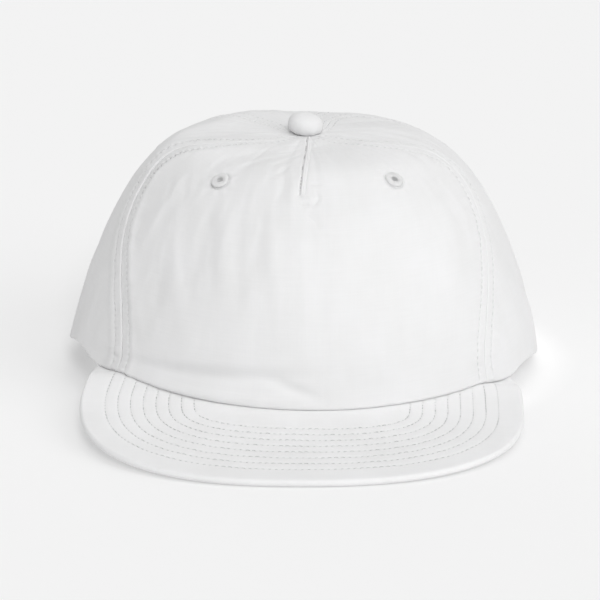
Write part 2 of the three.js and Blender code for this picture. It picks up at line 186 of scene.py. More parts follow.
# Creases of the cloth, by panel: the places that each runs through as (share, degrees), its half
# width on the left and on the right of the way it runs, and its lift outwards. The left shoulder's
# ridge crosses two panels, with a wide lift and a sharp one.
SHOULDER = [(0.53, -88), (0.60, -88), (0.65, -92), (0.69, -101), (0.72, -106), (0.735, -118), (0.74, -145)]
CREASES = {
    "front_panel": [
        ([(0.80, -6), (0.752, -31.3), (0.719, -40.8), (0.694, -46.5), (0.66, -47), (0.6, -44)],
         4.5, 2.2, -0.42),
        ([(0.775, -4.5), (0.729, -22), (0.694, -30.8), (0.655, -36)], 3.5, 1.3, -0.4),
        ([(0.30, -45.5), (0.25, -43.5), (0.20, -42)], 4.0, 3.0, -0.4),
        ([(0.53, -36), (0.44, -34), (0.35, -33)], 2.6, 2.6, -0.15),
        ([(0.50, -52), (0.40, -49), (0.30, -46)], 2.4, 3.4, 0.25),
        ([(0.571, -61), (0.533, -57.5), (0.494, -56)], 1.3, 2.2, -0.25),
        ([(0.617, -56), (0.552, -50.3), (0.51, -48)], 1.3, 2.2, -0.25),
        ([(0.65, -50), (0.6, -47.5), (0.56, -47)], 1.2, 2.2, -0.25),
        ([(0.716, -8.5), (0.706, -13.8), (0.694, -17.8)], 1.2, 1.2, -0.35),
        ([(0.698, -8), (0.665, -11.8), (0.644, -15)], 1.3, 1.3, -0.35),
        ([(0.665, -9), (0.615, -8.6), (0.569, -10.5)], 2.6, 1.4, -0.4),
        ([(0.66, -5.5), (0.6, -5.0), (0.54, -5.0)], 2.2, 2.2, 0.35),
        ([(0.623, 1), (0.621, 7.3)], 0.9, 0.9, -0.3),
        ([(0.719, 3.5), (0.708, 10.5)], 1.0, 1.0, -0.25),
        ([(0.735, 3.5), (0.728, 9.0)], 1.0, 1.0, -0.2),
        ([(0.60, 4.6), (0.577, 5.0), (0.552, 2.8)], 0.9, 0.9, -0.4),
        ([(0.562, -1.7), (0.56, 2.0)], 0.9, 0.9, -0.45),
        ([(0.585, 1.8), (0.57, 2.4)], 1.6, 1.6, 0.3),
        ([(0.544, -0.5), (0.527, 1.2), (0.508, 3.7), (0.47, 5.4)], 2.4, 1.3, -0.4),
        ([(0.53, -3.5), (0.47, -2.0), (0.38, -1.0)], 3.5, 3.5, 0.35),
        ([(0.554, -17.8), (0.492, -14), (0.45, -14.8), (0.38, -14.5)], 3.4, 1.9, -0.2),
        ([(0.498, -33.8), (0.427, -30.8), (0.369, -28.8), (0.27, -25.5)], 3.6, 2.2, -0.2),
        ([(0.477, -45.2), (0.406, -42), (0.352, -38.8), (0.26, -32.2)], 3.4, 2.2, -0.2),
        ([(0.51, -24.5), (0.438, -22), (0.28, -17.5)], 3.4, 2.2, -0.15),
        ([(0.554, -8.8), (0.448, -7.8), (0.34, -5.8)], 3.0, 2.2, -0.18),
        ([(0.248, 25), (0.31, 34.2), (0.375, 44)], 5.0, 5.0, -0.3),
        ([(0.842, -2), (0.815, -12), (0.79, -24)], 0.9, 0.9, -0.25),
        ([(0.80, -2), (0.775, -12), (0.75, -22)], 1.0, 1.0, -0.25),
        ([(0.765, -2), (0.735, -8), (0.715, -14)], 0.9, 0.9, -0.25),
        ([(0.84, 4), (0.855, 14), (0.86, 24)], 0.9, 0.9, -0.22),
        ([(0.80, 4), (0.815, 16), (0.82, 26)], 1.1, 1.1, -0.18),
        ([(0.765, 4), (0.77, 12)], 1.0, 1.0, -0.18),
    ],
    "side_panel_left back_panel_left": [
        (SHOULDER, 18.0, 10.0, 1.2),
        (SHOULDER, 3.0, 7.0, 0.6),
    ],
    "side_panel_left": [
        ([(0.60, -120), (0.45, -108), (0.30, -104)], 4.5, 6.0, -0.4),
        ([(0.42, -84), (0.28, -80), (0.14, -82)], 4.0, 5.0, 0.35),
        ([(0.10, -112), (0.22, -98), (0.30, -90)], 5.0, 3.5, -0.35),
        ([(0.80, -86), (0.72, -94), (0.66, -108)], 1.6, 2.2, -0.15),
    ],
    "side_panel_right": [
        ([(0.62, 92), (0.48, 98), (0.32, 96)], 5.0, 4.0, -0.35),
        ([(0.50, 112), (0.36, 106), (0.20, 110)], 4.0, 5.5, 0.35),
        ([(0.24, 76), (0.15, 88), (0.12, 104)], 3.5, 5.0, -0.3),
    ],
    "back_panel_left": [
        ([(0.62, -150), (0.46, -142), (0.30, -146)], 4.0, 5.5, -0.4),
        ([(0.34, -160), (0.24, -146), (0.12, -138)], 3.0, 4.5, -0.35),
        ([(0.80, -160), (0.68, -164), (0.52, -158)], 3.5, 3.0, 0.3),
    ],
    "back_panel_right": [
        ([(0.66, 146), (0.50, 152), (0.36, 148)], 5.0, 3.5, -0.4),
        ([(0.36, 158), (0.26, 146), (0.10, 136)], 4.5, 3.0, -0.4),
        ([(0.30, 134), (0.18, 138), (0.06, 146)], 3.5, 3.5, 0.3),
    ],
}

# Dart below the button, sewn along its left edge
DART = [(0.92, 3.4), (0.844, 1.0), (0.785, -0.2), (0.733, -1.0), (0.652, -1.8), (0.590, -2.3)]
DART_PITCH = 2.0

# Sewing. Seams start to lie closer and flatter at one share of the way up and are so from another.
SEAM_CHANGE, SEAM_CALM = 0.66, 0.82
STITCH_PITCH = 2.6
ROW_STEP = 0.6
STITCH_LENGTH = 2.0
STITCH_WIDTH = 0.26
STITCH_HEIGHT = 0.2
SEAM_STITCH = 4.3
EDGE_STITCH = 4.5
SEAM_ROW_LOW = 0.012
SEAM_ROW_TOP = 0.925

# Camera: how high it looks down, its distance, the point on its axis, and where that point shows in
# the 600 pixel picture
CAMERA_ELEVATION = 18.5
CAMERA_DISTANCE = 2000
CAMERA_TARGET = (0, -80, 46.9)
CAMERA_FOCAL_PIXELS = 5100
PICTURE_WIDTH = 600
TARGET_PIXEL = (302, 314)
SENSOR_WIDTH = 36

# Painted light: the brim's cloth is paler near the crown, in place of light thrown back from the crown.
# Where it starts to fade and where it ends, from the crown's middle
BOUNCE_PAINT_NEAR = 92
BOUNCE_PAINT_FAR = 128

# Floor: half its size in metres, its grey, the middle of its stronger glow under the cap, where that
# starts and ends from there, in metres, and the two strengths
FLOOR_HALF = 9.0
FLOOR_GREY = 0.64
GLOW_MIDDLE = (10, 0, 0)
GLOW_START, GLOW_END = 0.086, 0.104
GLOW_UNDER, GLOW_ROUND = 0.385, 0.292

# Lamps: degrees to the right of the front, degrees above the floor, strength, and width in degrees
LAMPS = {
    "front_light": (7, 33, 0.98, 15),
    "right_light": (60, 35, 0.70, 45),
    "top_light": (20, 74, 0.46, 40),
    "rear_light": (180, 35, 0.36, 45),
}
SURROUND_STRENGTH = 0.438

SEED = 7
LATTICE = 64


# Place of the crown's frame in the row frame, from the brim's box

BRIM_LOW, BRIM_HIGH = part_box("brim")
ORIGIN = np.array([
    (BRIM_LOW.x + BRIM_HIGH.x) / 2,
    BRIM_LOW.y + (HEM_FRONT + BRIM_LENGTH) * MM,
    0.0,
])


def placed(points):
    """Crown millimetres as metres in the row frame."""
    return np.asarray(points, float) * MM + ORIGIN


# Curves and noise

def bell(x):
    """A bump of height 1 at 0 that is nearly 0 beyond 2."""
    return np.exp(-np.square(x))


def eased(low, high, value):
    """A soft step from 0 to 1 as the value runs from low to high."""
    t = np.clip((value - low) / (high - low), 0, 1)
    return t * t * (3 - 2 * t)


def unit(vectors):
    return vectors / np.maximum(np.linalg.norm(vectors, axis=-1, keepdims=True), 1e-9)


def noise(x, y, seed):
    """Smooth noise from -1 to 1 with one random value at each whole step of x and y."""
    lattice = np.random.default_rng(SEED + seed).uniform(-1, 1, (LATTICE, LATTICE))
    column, row = np.floor(x).astype(int), np.floor(y).astype(int)
    across, up = eased(0, 1, x - column), eased(0, 1, y - row)
    value = lambda i, j: lattice[(column + i) % LATTICE, (row + j) % LATTICE]
    low = value(0, 0) * (1 - across) + value(1, 0) * across
    high = value(0, 1) * (1 - across) + value(1, 1) * across
    return low * (1 - up) + high * up


def reach_along(line):
    """How far along a line each of its points is."""
    return np.concatenate([[0], np.cumsum(np.linalg.norm(np.diff(line, axis=0), axis=1))])


def resampled(line, count):
    """A line of points as that many points, evenly spaced along it."""
    reach = reach_along(line)
    places = np.linspace(0, reach[-1], count)
    return np.stack([np.interp(places, reach, line[:, k]) for k in range(line.shape[1])], -1)


def smooth_curve(values, place):
    """The value or point at a place, counted in steps, on a smooth curve through a list of them."""
    k = np.clip(np.floor(place).astype(int), 0, len(values) - 2)
    t = (place - k).reshape(np.shape(place) + (1,) * (values.ndim - 1))
    slopes = np.gradient(values, axis=0)
    bend = slopes[k] * t * (1 - t) ** 2 - slopes[k + 1] * t * t * (1 - t)
    return values[k] + (values[k + 1] - values[k]) * eased(0, 1, t) + bend


def line_place(points, line):
    """How far each point is from a line of points, how far along the line it is, and the nearest part."""
    shape = points.shape[:-1]
    steps = np.diff(line, axis=0)
    lengths = np.linalg.norm(steps, axis=1)
    reach = reach_along(line)
    gaps, places, parts = [], [], []
    flat = points.reshape(-1, points.shape[-1])
    for chunk in np.array_split(flat, max(1, len(flat) // 4000)):
        offset = chunk[:, None] - line[None, :-1]
        t = np.clip((offset * steps).sum(-1) / lengths ** 2, 0, 1)
        gap = np.linalg.norm(offset - t[..., None] * steps, axis=-1)
        nearest = gap.argmin(1)
        row = np.arange(len(chunk))
        gaps.append(gap[row, nearest])
        places.append(reach[nearest] + t[row, nearest] * lengths[nearest])
        parts.append(nearest)
    return [np.concatenate(values).reshape(shape) for values in (gaps, places, parts)]


# Crown surface

def smooth_value(name, share):
    """A column's value between the sections, on a smooth curve through them."""
    values = SECTIONS[:, SECTION_NAMES.index(name)]
    return smooth_curve(values, np.clip(share, 0, 1) * (len(values) - 1))


def brim_height(x, y):
    """Height of the brim's top face, whose back corners droop."""
    forward = -y - HEM_FRONT
    rise = BRIM_REST + BRIM_THICKNESS + (BRIM_LENGTH - BRIM_EDGE) * math.tan(BRIM_SLOPE)
    held = np.clip(1 - (forward + BRIM_LENGTH) / (2 * BRIM_LENGTH), 0, 1)
    twist = TWIST * (x / BRIM_HALF) * held * BRIM_TWIST_HOLD
    droop = BRIM_DROOP * eased(BRIM_DROOP_START, BRIM_DROOP_END, y)
    camber = BRIM_CAMBER * (x / BRIM_HALF) ** 2
    return rise - forward * math.tan(BRIM_SLOPE) - camber - twist - droop


def hem_height(angle):
    """Height of the hem: on the brim in front, lower at the sides and flat on the floor at the back."""
    degrees = np.abs(np.degrees(angle))
    past = eased(BRIM_END_ANGLE, SIDE_HEM_ANGLE, degrees)
    rear = eased(HEM_DROP_START, HEM_FLAT_ANGLE, degrees)
    side = (SIDE_HEM - TWIST * np.sin(angle)) * (1 - rear)
    gap = GAP * (1 - GAP_CLOSING * bell((degrees - GAP_ANGLE) / GAP_SPREAD))
    on_brim = brim_height(HEM_SIDE * np.sin(angle), -HEM_FRONT * np.cos(angle)) + gap
    recovered = BRIM_DROOP * eased(BRIM_END_ANGLE, BRIM_DROOP_ANGLE, degrees)
    return (on_brim + recovered) * (1 - past) + side * past


def crown_point(share, angle):
    height = smooth_value("height", share)
    reach = np.where(np.cos(angle) > 0, smooth_value("front", share), smooth_value("back", share))
    held = (1 - np.clip(height / HEM_FADE_HEIGHT, 0, 1)) ** 2
    return np.stack([
        smooth_value("side", share) * np.sin(angle) + LEAN * height / TOP_HEIGHT,
        -reach * np.cos(angle),
        height + hem_height(angle) * held,
    ], -1)


def crown_slopes(share, angle):
    """How the crown's point moves with the share of the way up and with the angle."""
    low = np.maximum(share - NORMAL_STEP, 0)
    high = np.minimum(share + NORMAL_STEP, 1)
    up = (crown_point(high, angle) - crown_point(low, angle)) / (high - low)[..., None]
    ahead, behind = crown_point(share, angle + NORMAL_STEP), crown_point(share, angle - NORMAL_STEP)
    return up, (ahead - behind) / (2 * NORMAL_STEP)


def crown_normal(share, angle):
    up, around = crown_slopes(share, angle)
    return unit(np.cross(around, up))


def beside(share, angle, offset):
    """A path on the crown moved sideways by an offset, to its left as it is seen from outside."""
    up, around = crown_slopes(share, angle)
    along = np.gradient(crown_point(share, angle), axis=0)
    across = offset * unit(np.cross(unit(np.cross(around, up)), along))
    a, b, c = (up * up).sum(-1), (up * around).sum(-1), (around * around).sum(-1)
    p, q = (across * up).sum(-1), (across * around).sum(-1)
    spread = a * c - b * b
    return share + (c * p - b * q) / spread, angle + (a * q - b * p) / spread


def crown_path(places, count=60):
    """(share, degrees) places as evenly spaced shares and angles on a smooth path through them."""
    places = np.array(places, float)
    if len(places) > 2:
        places = smooth_curve(places, np.linspace(0, len(places) - 1, 12 * len(places)))
    even = resampled(places * (CROWN_ARC, 1), count)
    return even[:, 0] / CROWN_ARC, np.radians(even[:, 1])


# Cloth of the crown

def fold_lift(share, angle):
    """How far the soft folds lift the cloth."""
    degrees = np.degrees(angle)
    lift = np.zeros(np.shape(share))
    for middle, height, wide, tall, climb, lean, size in FOLDS:
        right, above = degrees - middle, share - height
        lift += size * bell((right - lean * above) / wide) * bell((above - climb * right) / tall)
    return lift


def crease_lift(points, panel_name):
    """Sharper creases of a panel, which fade towards their ends."""
    lift = np.zeros(points.shape[:-1])
    creases = [row for panels, rows in CREASES.items() if panel_name in panels.split() for row in rows]
    for places, left, right, size in creases:
        line = crown_point(*crown_path(places))
        length = reach_along(line)[-1]
        gap, along, part = line_place(points, line)
        ends = eased(0, 0.3 * length, along) * (1 - eased(0.7 * length, length, along))
        ways = np.gradient(line, axis=0)[part]
        out = line[part] - np.array((0, 0, line[:, 2].min() - 30))
        side = (np.cross(ways, points - line[part]) * out).sum(-1)
        lift += size * bell(gap / np.where(side > 0, left, right)) * (0.35 + 0.65 * ends)
    return lift


def undulation(share, angle):
    """Slight waves of the cloth, longer upwards than across, and finer ones on the left of the front."""
    across = np.degrees(angle) * HEM_FRONT * math.pi / 180
    up = share * CROWN_ARC
    fine = 0.07 * noise(across / 3.2, up / 11, 4) + 0.07 * noise(across / 5.5, up / 9, 8)
    left = (1 - eased(-0.35, 0.0, angle)) * eased(-1.5, -1.0, angle) * (1 - eased(0.5, 0.75, share))
    return (0.20 * noise(across / 8, up / 34, 1)
            + 0.10 * noise(across / 4, up / 14, 2)
            + 0.25 * noise(across / 30, up / 26, 3)
            + fine * left)


def seam_reach(share):
    """How far the topstitching is from its seam. It runs closer towards the top."""
    return SEAM_STITCH * (1 - 0.45 * eased(SEAM_CHANGE, SEAM_CALM, share))


def seam_lift(gap, along, share, seed, left):
    """Cloth beside a seam: the seam's groove, the thicker band up to its stitches, and their puckers.
    It is flatter high on the crown. left is how strongly the stitches pull on the cap's left front."""
    high = eased(SEAM_CHANGE, SEAM_CALM, share)
    turn = 2 * math.pi * along / STITCH_PITCH + 0.6 * noise(along / 5, gap * 0, seed + 3)
    offset = gap - seam_reach(share)
    groove = -(0.10 + 0.04 * left) * (1 - 0.4 * high) * bell(gap / 0.2)
    band = 0.09 * (1 - 0.6 * high) * eased(0.0, 0.45, gap) * (1 - eased(-0.5, 0.9, offset))
    stitch = -((0.2 - 0.12 * high) + (0.12 - 0.06 * high) * np.cos(turn)) * bell(offset / 0.5)
    scallop = -0.08 * np.cos(turn) * bell((offset + 1.2) / 0.9)
    rough = noise(along / 4.2, gap * 0 + seed, seed) + 0.6 * noise(along / 2.1, gap * 0, seed + 9)
    pucker = (0.17 - 0.12 * high) * rough * eased(0.6, 2.5, gap) * (1 - eased(5.0, 13.0 - 6 * high, gap))
    cobbles = -0.22 * np.cos(turn) * bell(offset / 1.3) * eased(0.4, 0.56, share) * (1 - 0.8 * high)
    pulled = 0.3 * bell((offset - 2.4) / 1.8) * (1 - high)
    return groove + band + stitch + scallop + pucker + (cobbles + pulled) * left


def raised_seam(gap, share, front):
    """The cloth stands up along the left front seam, with a shallow valley between seam and stitches."""
    reach = 17 if front else 12
    size = 0.8 + 0.4 * eased(0.5, 0.64, share)
    stand = size * (1 - eased(3, reach, gap)) * eased(0.2, 0.4, share) * (1 - eased(0.7, 0.85, share))
    valley = 0.5 * bell(gap / 4.5) * (1 - eased(0.55, 0.7, share)) * eased(0, 0.05, share)
    return stand - valley * front


def dart_lift(points):
    """The dart: a valley with its stitches, and the folded cloth standing to its right."""
    share, angle = crown_path(DART)
    line = crown_point(share, angle)
    gap, along, part = line_place(points, line)
    right = np.sign(points[..., 0] - line[part, 0])
    beyond = 1 - eased(0.0, 0.9, np.where(points[..., 2] > line[-1, 2], 0, gap) - 0.4)
    signed = gap * right
    valley = -(0.45 + 0.4 * np.cos(2 * math.pi * along / DART_PITCH)) * bell(signed / 0.36)
    ridges = 0.4 * bell((signed - 0.75) / 0.4) + 0.22 * bell((signed - 1.65) / 0.35)
    dip = -0.2 * bell((signed - 2.15) / 0.4)
    pulled = -0.2 * bell(signed / 4)
    fade = eased(0, 1.2, reach_along(line)[-1] - along)
    end_pull = -0.5 * bell(np.linalg.norm(points - line[-1], axis=-1) / 1.5)
    return (valley + ridges + dip + pulled) * fade * beyond + end_pull


def eyelet_lift(points):
    """Cloth held flat and pulled in round each eyelet, with small radiating puckers."""
    lift = np.zeros(points.shape[:-1])
    for share, degrees in EYELETS.values():
        middle, _, right, up = eyelet_frame(share, degrees)
        offset = points - middle
        x, y = (offset * right).sum(-1), (offset * up).sum(-1)
        radius = np.linalg.norm(offset, axis=-1)
        turn = np.arctan2(y, x)
        lift -= 0.75 * bell((radius - 4.05) / 0.35)
        lift += 0.1 * np.cos(9 * turn + 1.0) * bell((radius - 6.5) / 2.0)
    return lift


def eyelet_frame(share, degrees):
    """Middle of an eyelet on the cloth, its normal, and two directions across it."""
    share, angle = np.array(share), np.array(math.radians(degrees))
    normal = crown_normal(share, angle)
    up = unit(np.array([0, 0, 1.0]) - normal[2] * normal)
    return crown_point(share, angle) + fold_lift(share, angle) * normal, normal, np.cross(up, normal), up


def edge_lift(gap, stitched):
    """A folded edge: rounded, thicker, and with a groove where it is sewn."""
    lift = -0.55 * bell(gap / 0.5)
    if stitched:
        lift += 0.3 * (1 - eased(EDGE_STITCH, EDGE_STITCH + 2, gap)) - 0.3 * bell((gap - EDGE_STITCH) / 0.5)
    return lift


def cloth_point(share, angle, panel, depth=0.0, detail=True):
    """A point of a panel's cloth at a depth below its outer face."""
    outer = crown_point(share, angle)
    lift = fold_lift(share, angle) - depth
    if detail:
        fade = 1 - eased(PLAIN_START, PLAIN_END, share)
        seams = np.zeros(np.shape(share))
        smooth = np.ones(np.shape(share))
        left = (1 - eased(-0.5, -0.2, angle)) * eased(-1.75, -1.5, angle)
        for seed, line in enumerate(panel["seams"]):
            gap, along, _ = line_place(outer, line)
            seams += seam_lift(gap, along, share, panel["seed"] + seed, left)
            if line is panel["raised"]:
                seams += raised_seam(gap, share, panel["front"])
            smooth *= eased(2, 9, gap)
        for line, stitched in panel["edges"]:
            gap, _, _ = line_place(outer, line)
            seams += edge_lift(gap, stitched)
        waves = undulation(share, angle) * (0.25 + 0.75 * smooth) + crease_lift(outer, panel["name"])
        if panel["front"]:
            waves = waves + eyelet_lift(outer) + dart_lift(outer)
        lift = lift + (seams + waves) * fade
    point = outer + crown_normal(share, angle) * lift[..., None]
    point[..., 2] = np.where(share <= 0, outer[..., 2], point[..., 2])
    return point


def seam_angle(name, side, share):
    """Angle of a seam. High on the crown the right back seam runs further back than the left one."""
    back = BACK_SEAM_TURN * bell((share - BACK_SEAM_TURN_SHARE) / 0.1) * (name == "back_seam" and side > 0)
    return side * np.radians(smooth_value(name, share) + back)


def seam_path(name, side, low=0.0, high=1.0, count=170):
    share = np.linspace(low, high, count)
    return share, seam_angle(name, side, share)


def back_place(across, up):
    """Share and part of the way across for a back panel, whose low edge turns up along the arch."""
    turn = np.maximum(0, (across - ARCH_FOOT) / (1 - ARCH_FOOT)) * math.pi / 2
    low = np.where(across > ARCH_FOOT, 1 - (1 - ARCH_FOOT) * np.cos(turn), across)
    start = ARCH_TOP * np.sin(turn)
    return start + (1 - start) * up, low + (across - low) * up


def back_wander(share):
    """How far the back seam strays to the right of the middle near the top, in radians."""
    return BACK_WANDER * bell((share - 0.74) / 0.13)


def arch_path(side, count=120):
    across = np.linspace(ARCH_FOOT, 1, count)
    share, part = back_place(across, np.zeros(count))
    seam = np.radians(smooth_value("back_seam", share))
    return share, side * (seam + (math.pi - seam) * part)


def hem_path(low, high, count=200):
    return np.zeros(count), np.radians(np.linspace(low, high, count))


# Meshes

def spread(count, ends, middle=0.0):
    """Places from 0 to 1, closer together at both ends, over a share of the way, and in the middle."""
    fine = np.linspace(0, 1, 4001)
    from_end = np.minimum(fine, 1 - fine)
    density = 1 + 2.2 * (1 - eased(ends, 1.6 * ends, from_end)) + middle * bell((fine - 0.5) / 0.04)
    reach = np.concatenate([[0], np.cumsum((density[1:] + density[:-1]) / 2)])
    return np.interp(np.linspace(0, reach[-1], count + 1), reach, fine)


def add_object(name, data):
    thing = bpy.data.objects.new(name, data)
    bpy.context.scene.collection.objects.link(thing)
    return thing


def add_piece(name, points, faces, material, replaces=(), uv=None, sharp=40):
    """A mesh piece on the cap's body. Points are crown millimetres, and uv is millimetres of cloth."""
    mesh = bpy.data.meshes.new(name)
    mesh.from_pydata(placed(points), [], faces)
    if uv is not None:
        layer = mesh.uv_layers.new(name="cloth")
        corners = np.empty(len(mesh.loops), np.int32)
        mesh.loops.foreach_get("vertex_index", corners)
        layer.data.foreach_set("uv", (np.asarray(uv) * MM)[corners].ravel().astype(np.float32))
    mesh.materials.append(material)
    mesh.shade_smooth()
    mesh.set_sharp_from_angle(angle=math.radians(sharp))
    piece = add_object(name, mesh)
    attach(piece, "root")
    if replaces:
        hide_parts(*replaces)
    return piece


def loop_faces(rings, sides, closed=False):
    """Faces between rings of points, round each ring, and from the last ring to the first if closed."""
    faces = []
    for i in range(rings if closed else rings - 1):
        for j in range(sides):
            a, b = (i + 1) % rings, (j + 1) % sides
            faces.append([i * sides + j, i * sides + b, a * sides + b, a * sides + j])
    return faces


def grid_faces(columns, rows, start=0, flip=False):
    """Faces of a grid of points stored column by column."""
    i, j = np.meshgrid(np.arange(columns - 1), np.arange(rows - 1), indexing="ij")
    a = (start + i * rows + j).ravel()
    corners = [a, a + rows, a + rows + 1, a + 1]
    if flip:
        corners.reverse()
    return np.stack(corners, -1).tolist()


def shell(outer, inner, ratio):
    """Closed body between a fine outer grid and an inner grid that is coarser by a ratio."""
    columns, rows = outer.shape[:2]
    inner_columns, inner_rows = inner.shape[:2]
    start = columns * rows
    faces = grid_faces(columns, rows) + grid_faces(inner_columns, inner_rows, start, flip=True)
    fine = lambda i, j: i * rows + j
    coarse = lambda i, j: start + i * inner_rows + j
    last, top = inner_columns - 1, inner_rows - 1
    for k in range(last):
        for row, inner_row, turn in ((0, 0, -1), (rows - 1, top, 1)):
            line = [fine(k * ratio + s, row) for s in range(ratio + 1)]
            faces.append([coarse(k, inner_row), coarse(k + 1, inner_row)][::-turn] + line[::turn])
    for k in range(top):
        for column, inner_column, turn in ((0, 0, 1), (columns - 1, last, -1)):
            line = [fine(column, k * ratio + s) for s in range(ratio + 1)]
            faces.append([coarse(inner_column, k), coarse(inner_column, k + 1)][::-turn] + line[::turn])
    return np.concatenate([outer.reshape(-1, 3), inner.reshape(-1, 3)]), faces


def panel_mesh(panel):
    """Points, faces and cloth coordinates of a crown panel."""
    across = spread(panel["columns"], panel["edge_share"], 2.4 if panel["front"] else 0.0)
    up = spread(panel["rows"], 0.035)
    share, part = panel["place"](*np.meshgrid(across, up, indexing="ij"))
    inset = SEAM_INSET / smooth_value("side", share)
    left, right = panel["left"](share) + inset, panel["right"](share) - inset
    angle = left + (right - left) * part
    outer = cloth_point(share, angle, panel)
    coarse = (slice(None, None, SHELL_RATIO), slice(None, None, SHELL_RATIO))
    inner = cloth_point(share[coarse], angle[coarse], panel, WALL, detail=False)
    points, faces = shell(outer, inner, SHELL_RATIO)
    middle = (panel["left"](0.3) + panel["right"](0.3)) / 2
    radius = smooth_value("side", share)
    cloth = lambda s, a, r: np.stack([(a - middle) * r, s * CROWN_ARC], -1).reshape(-1, 2)
    uv = np.concatenate([cloth(share, angle, radius), cloth(share[coarse], angle[coarse], radius[coarse])])
    return points, faces, uv


def stitch_shape():
    """One stitch from end to end along X, as rings of points round it, and its faces."""
    sides = 6
    rows = [(-1.0, 0.3), (-0.75, 0.85), (-0.3, 1.0), (0.3, 1.0), (0.75, 0.85), (1.0, 0.3)]
    points = []
    for place, size in rows:
        sink = -2.2 * place ** 4
        for turn in np.arange(sides) * 2 * math.pi / sides:
            points.append((place, size * math.cos(turn), size * math.sin(turn) + sink))
    ends = [list(range(sides)), [(len(rows) - 1) * sides + s for s in reversed(range(sides))]]
    return np.array(points), loop_faces(len(rows), sides) + ends


def add_stitches(name, rows, material, pitch=STITCH_PITCH, length=STITCH_LENGTH, width=STITCH_WIDTH):
    """Joined stitches along rows. Each row is its points and their normals."""
    shape, shape_faces = stitch_shape()
    points, faces, uv = [], [], []
    rng = np.random.default_rng(SEED)
    for line, normals in rows:
        reach = reach_along(line)
        places = np.arange(pitch, reach[-1] - pitch, pitch)
        places = places + rng.uniform(-0.12, 0.12, len(places))
        at = lambda values, p: np.stack([np.interp(p, reach, values[:, k]) for k in range(3)], -1)
        middle, normal = at(line, places), unit(at(normals, places))
        ahead = unit(at(line, places + length / 2) - at(line, places - length / 2))
        normal = unit(normal - (normal * ahead).sum(-1, keepdims=True) * ahead)
        for m, a, s, n in zip(middle, ahead, np.cross(normal, ahead), normal):
            faces += [[len(points) * len(shape) + c for c in face] for face in shape_faces]
            points.append(m + shape[:, :1] * a * length / 2 + shape[:, 1:2] * s * width
                          + shape[:, 2:] * n * STITCH_HEIGHT)
            uv.append(shape[:, :2] * (length / 2, width))
    add_piece(name, np.concatenate(points), faces, material, uv=np.concatenate(uv))


# Materials

class Nodes:
    """A new material, with short ways to add nodes to it."""

    def __init__(self, name):
        self.material = bpy.data.materials.new(name)
        self.material.use_nodes = True
        self.tree = self.material.node_tree
        self.shader = self.tree.nodes["Principled BSDF"]

    def put(self, node, inputs):
        """Links or sets a node's inputs, from a table of their names."""
        for name, value in inputs.items():
            if isinstance(value, bpy.types.NodeSocket):
                self.tree.links.new(value, node.inputs[name])
            else:
                node.inputs[name].default_value = value

    def add(self, kind, inputs=None, **settings):
        """The outputs of a new node with these inputs and settings."""
        node = self.tree.nodes.new("ShaderNode" + kind)
        for name, value in settings.items():
            setattr(node, name, value)
        self.put(node, inputs or {})
        return node.outputs

    def math(self, operation, first, second=0.5):
        return self.add("Math", {0: first, 1: second}, operation=operation)[0]

    def noise(self, vector, scale, detail=3.0):
        """Noise that is stretched by a scale for each direction, or plain noise at one scale."""
        if isinstance(scale, tuple):
            vector = self.add("Mapping", {"Vector": vector, "Scale": scale})["Vector"]
            scale = 1.0
        inputs = {"Vector": vector, "Scale": scale, "Detail": detail, "Roughness": 0.55}
        return self.add("TexNoise", inputs)["Fac"]

    def ramp(self, factor, low, high, dark, light):
        """A grey or colour that runs from dark to light as the factor runs from low to high."""
        node = self.tree.nodes.new("ShaderNodeValToRGB")
        self.put(node, {"Fac": factor})
        for element, place, colour in zip(node.color_ramp.elements, (low, high), (dark, light)):
            element.position = place
            element.color = (*colour, 1) if isinstance(colour, tuple) else (colour, colour, colour, 1)
        return node.outputs["Color"]

    def times(self, first, second):
        """One colour multiplied by another."""
        inputs = {"Factor": 1.0, "A": first, "B": second}
        return self.add("Mix", inputs, data_type="RGBA", blend_type="MULTIPLY")["Result"]

    def bump(self, height, strength, distance, **normal):
        """The normal over a height. The distance is in millimetres."""
        inputs = {"Height": height, "Strength": strength, "Distance": distance * MM, **normal}
        return self.add("Bump", inputs)["Normal"]

    def rough(self, value, low, high):
        """A roughness from low to high as a value runs from 0 to 1."""
        return self.add("MapRange", {"Value": value, "To Min": low, "To Max": high})["Result"]


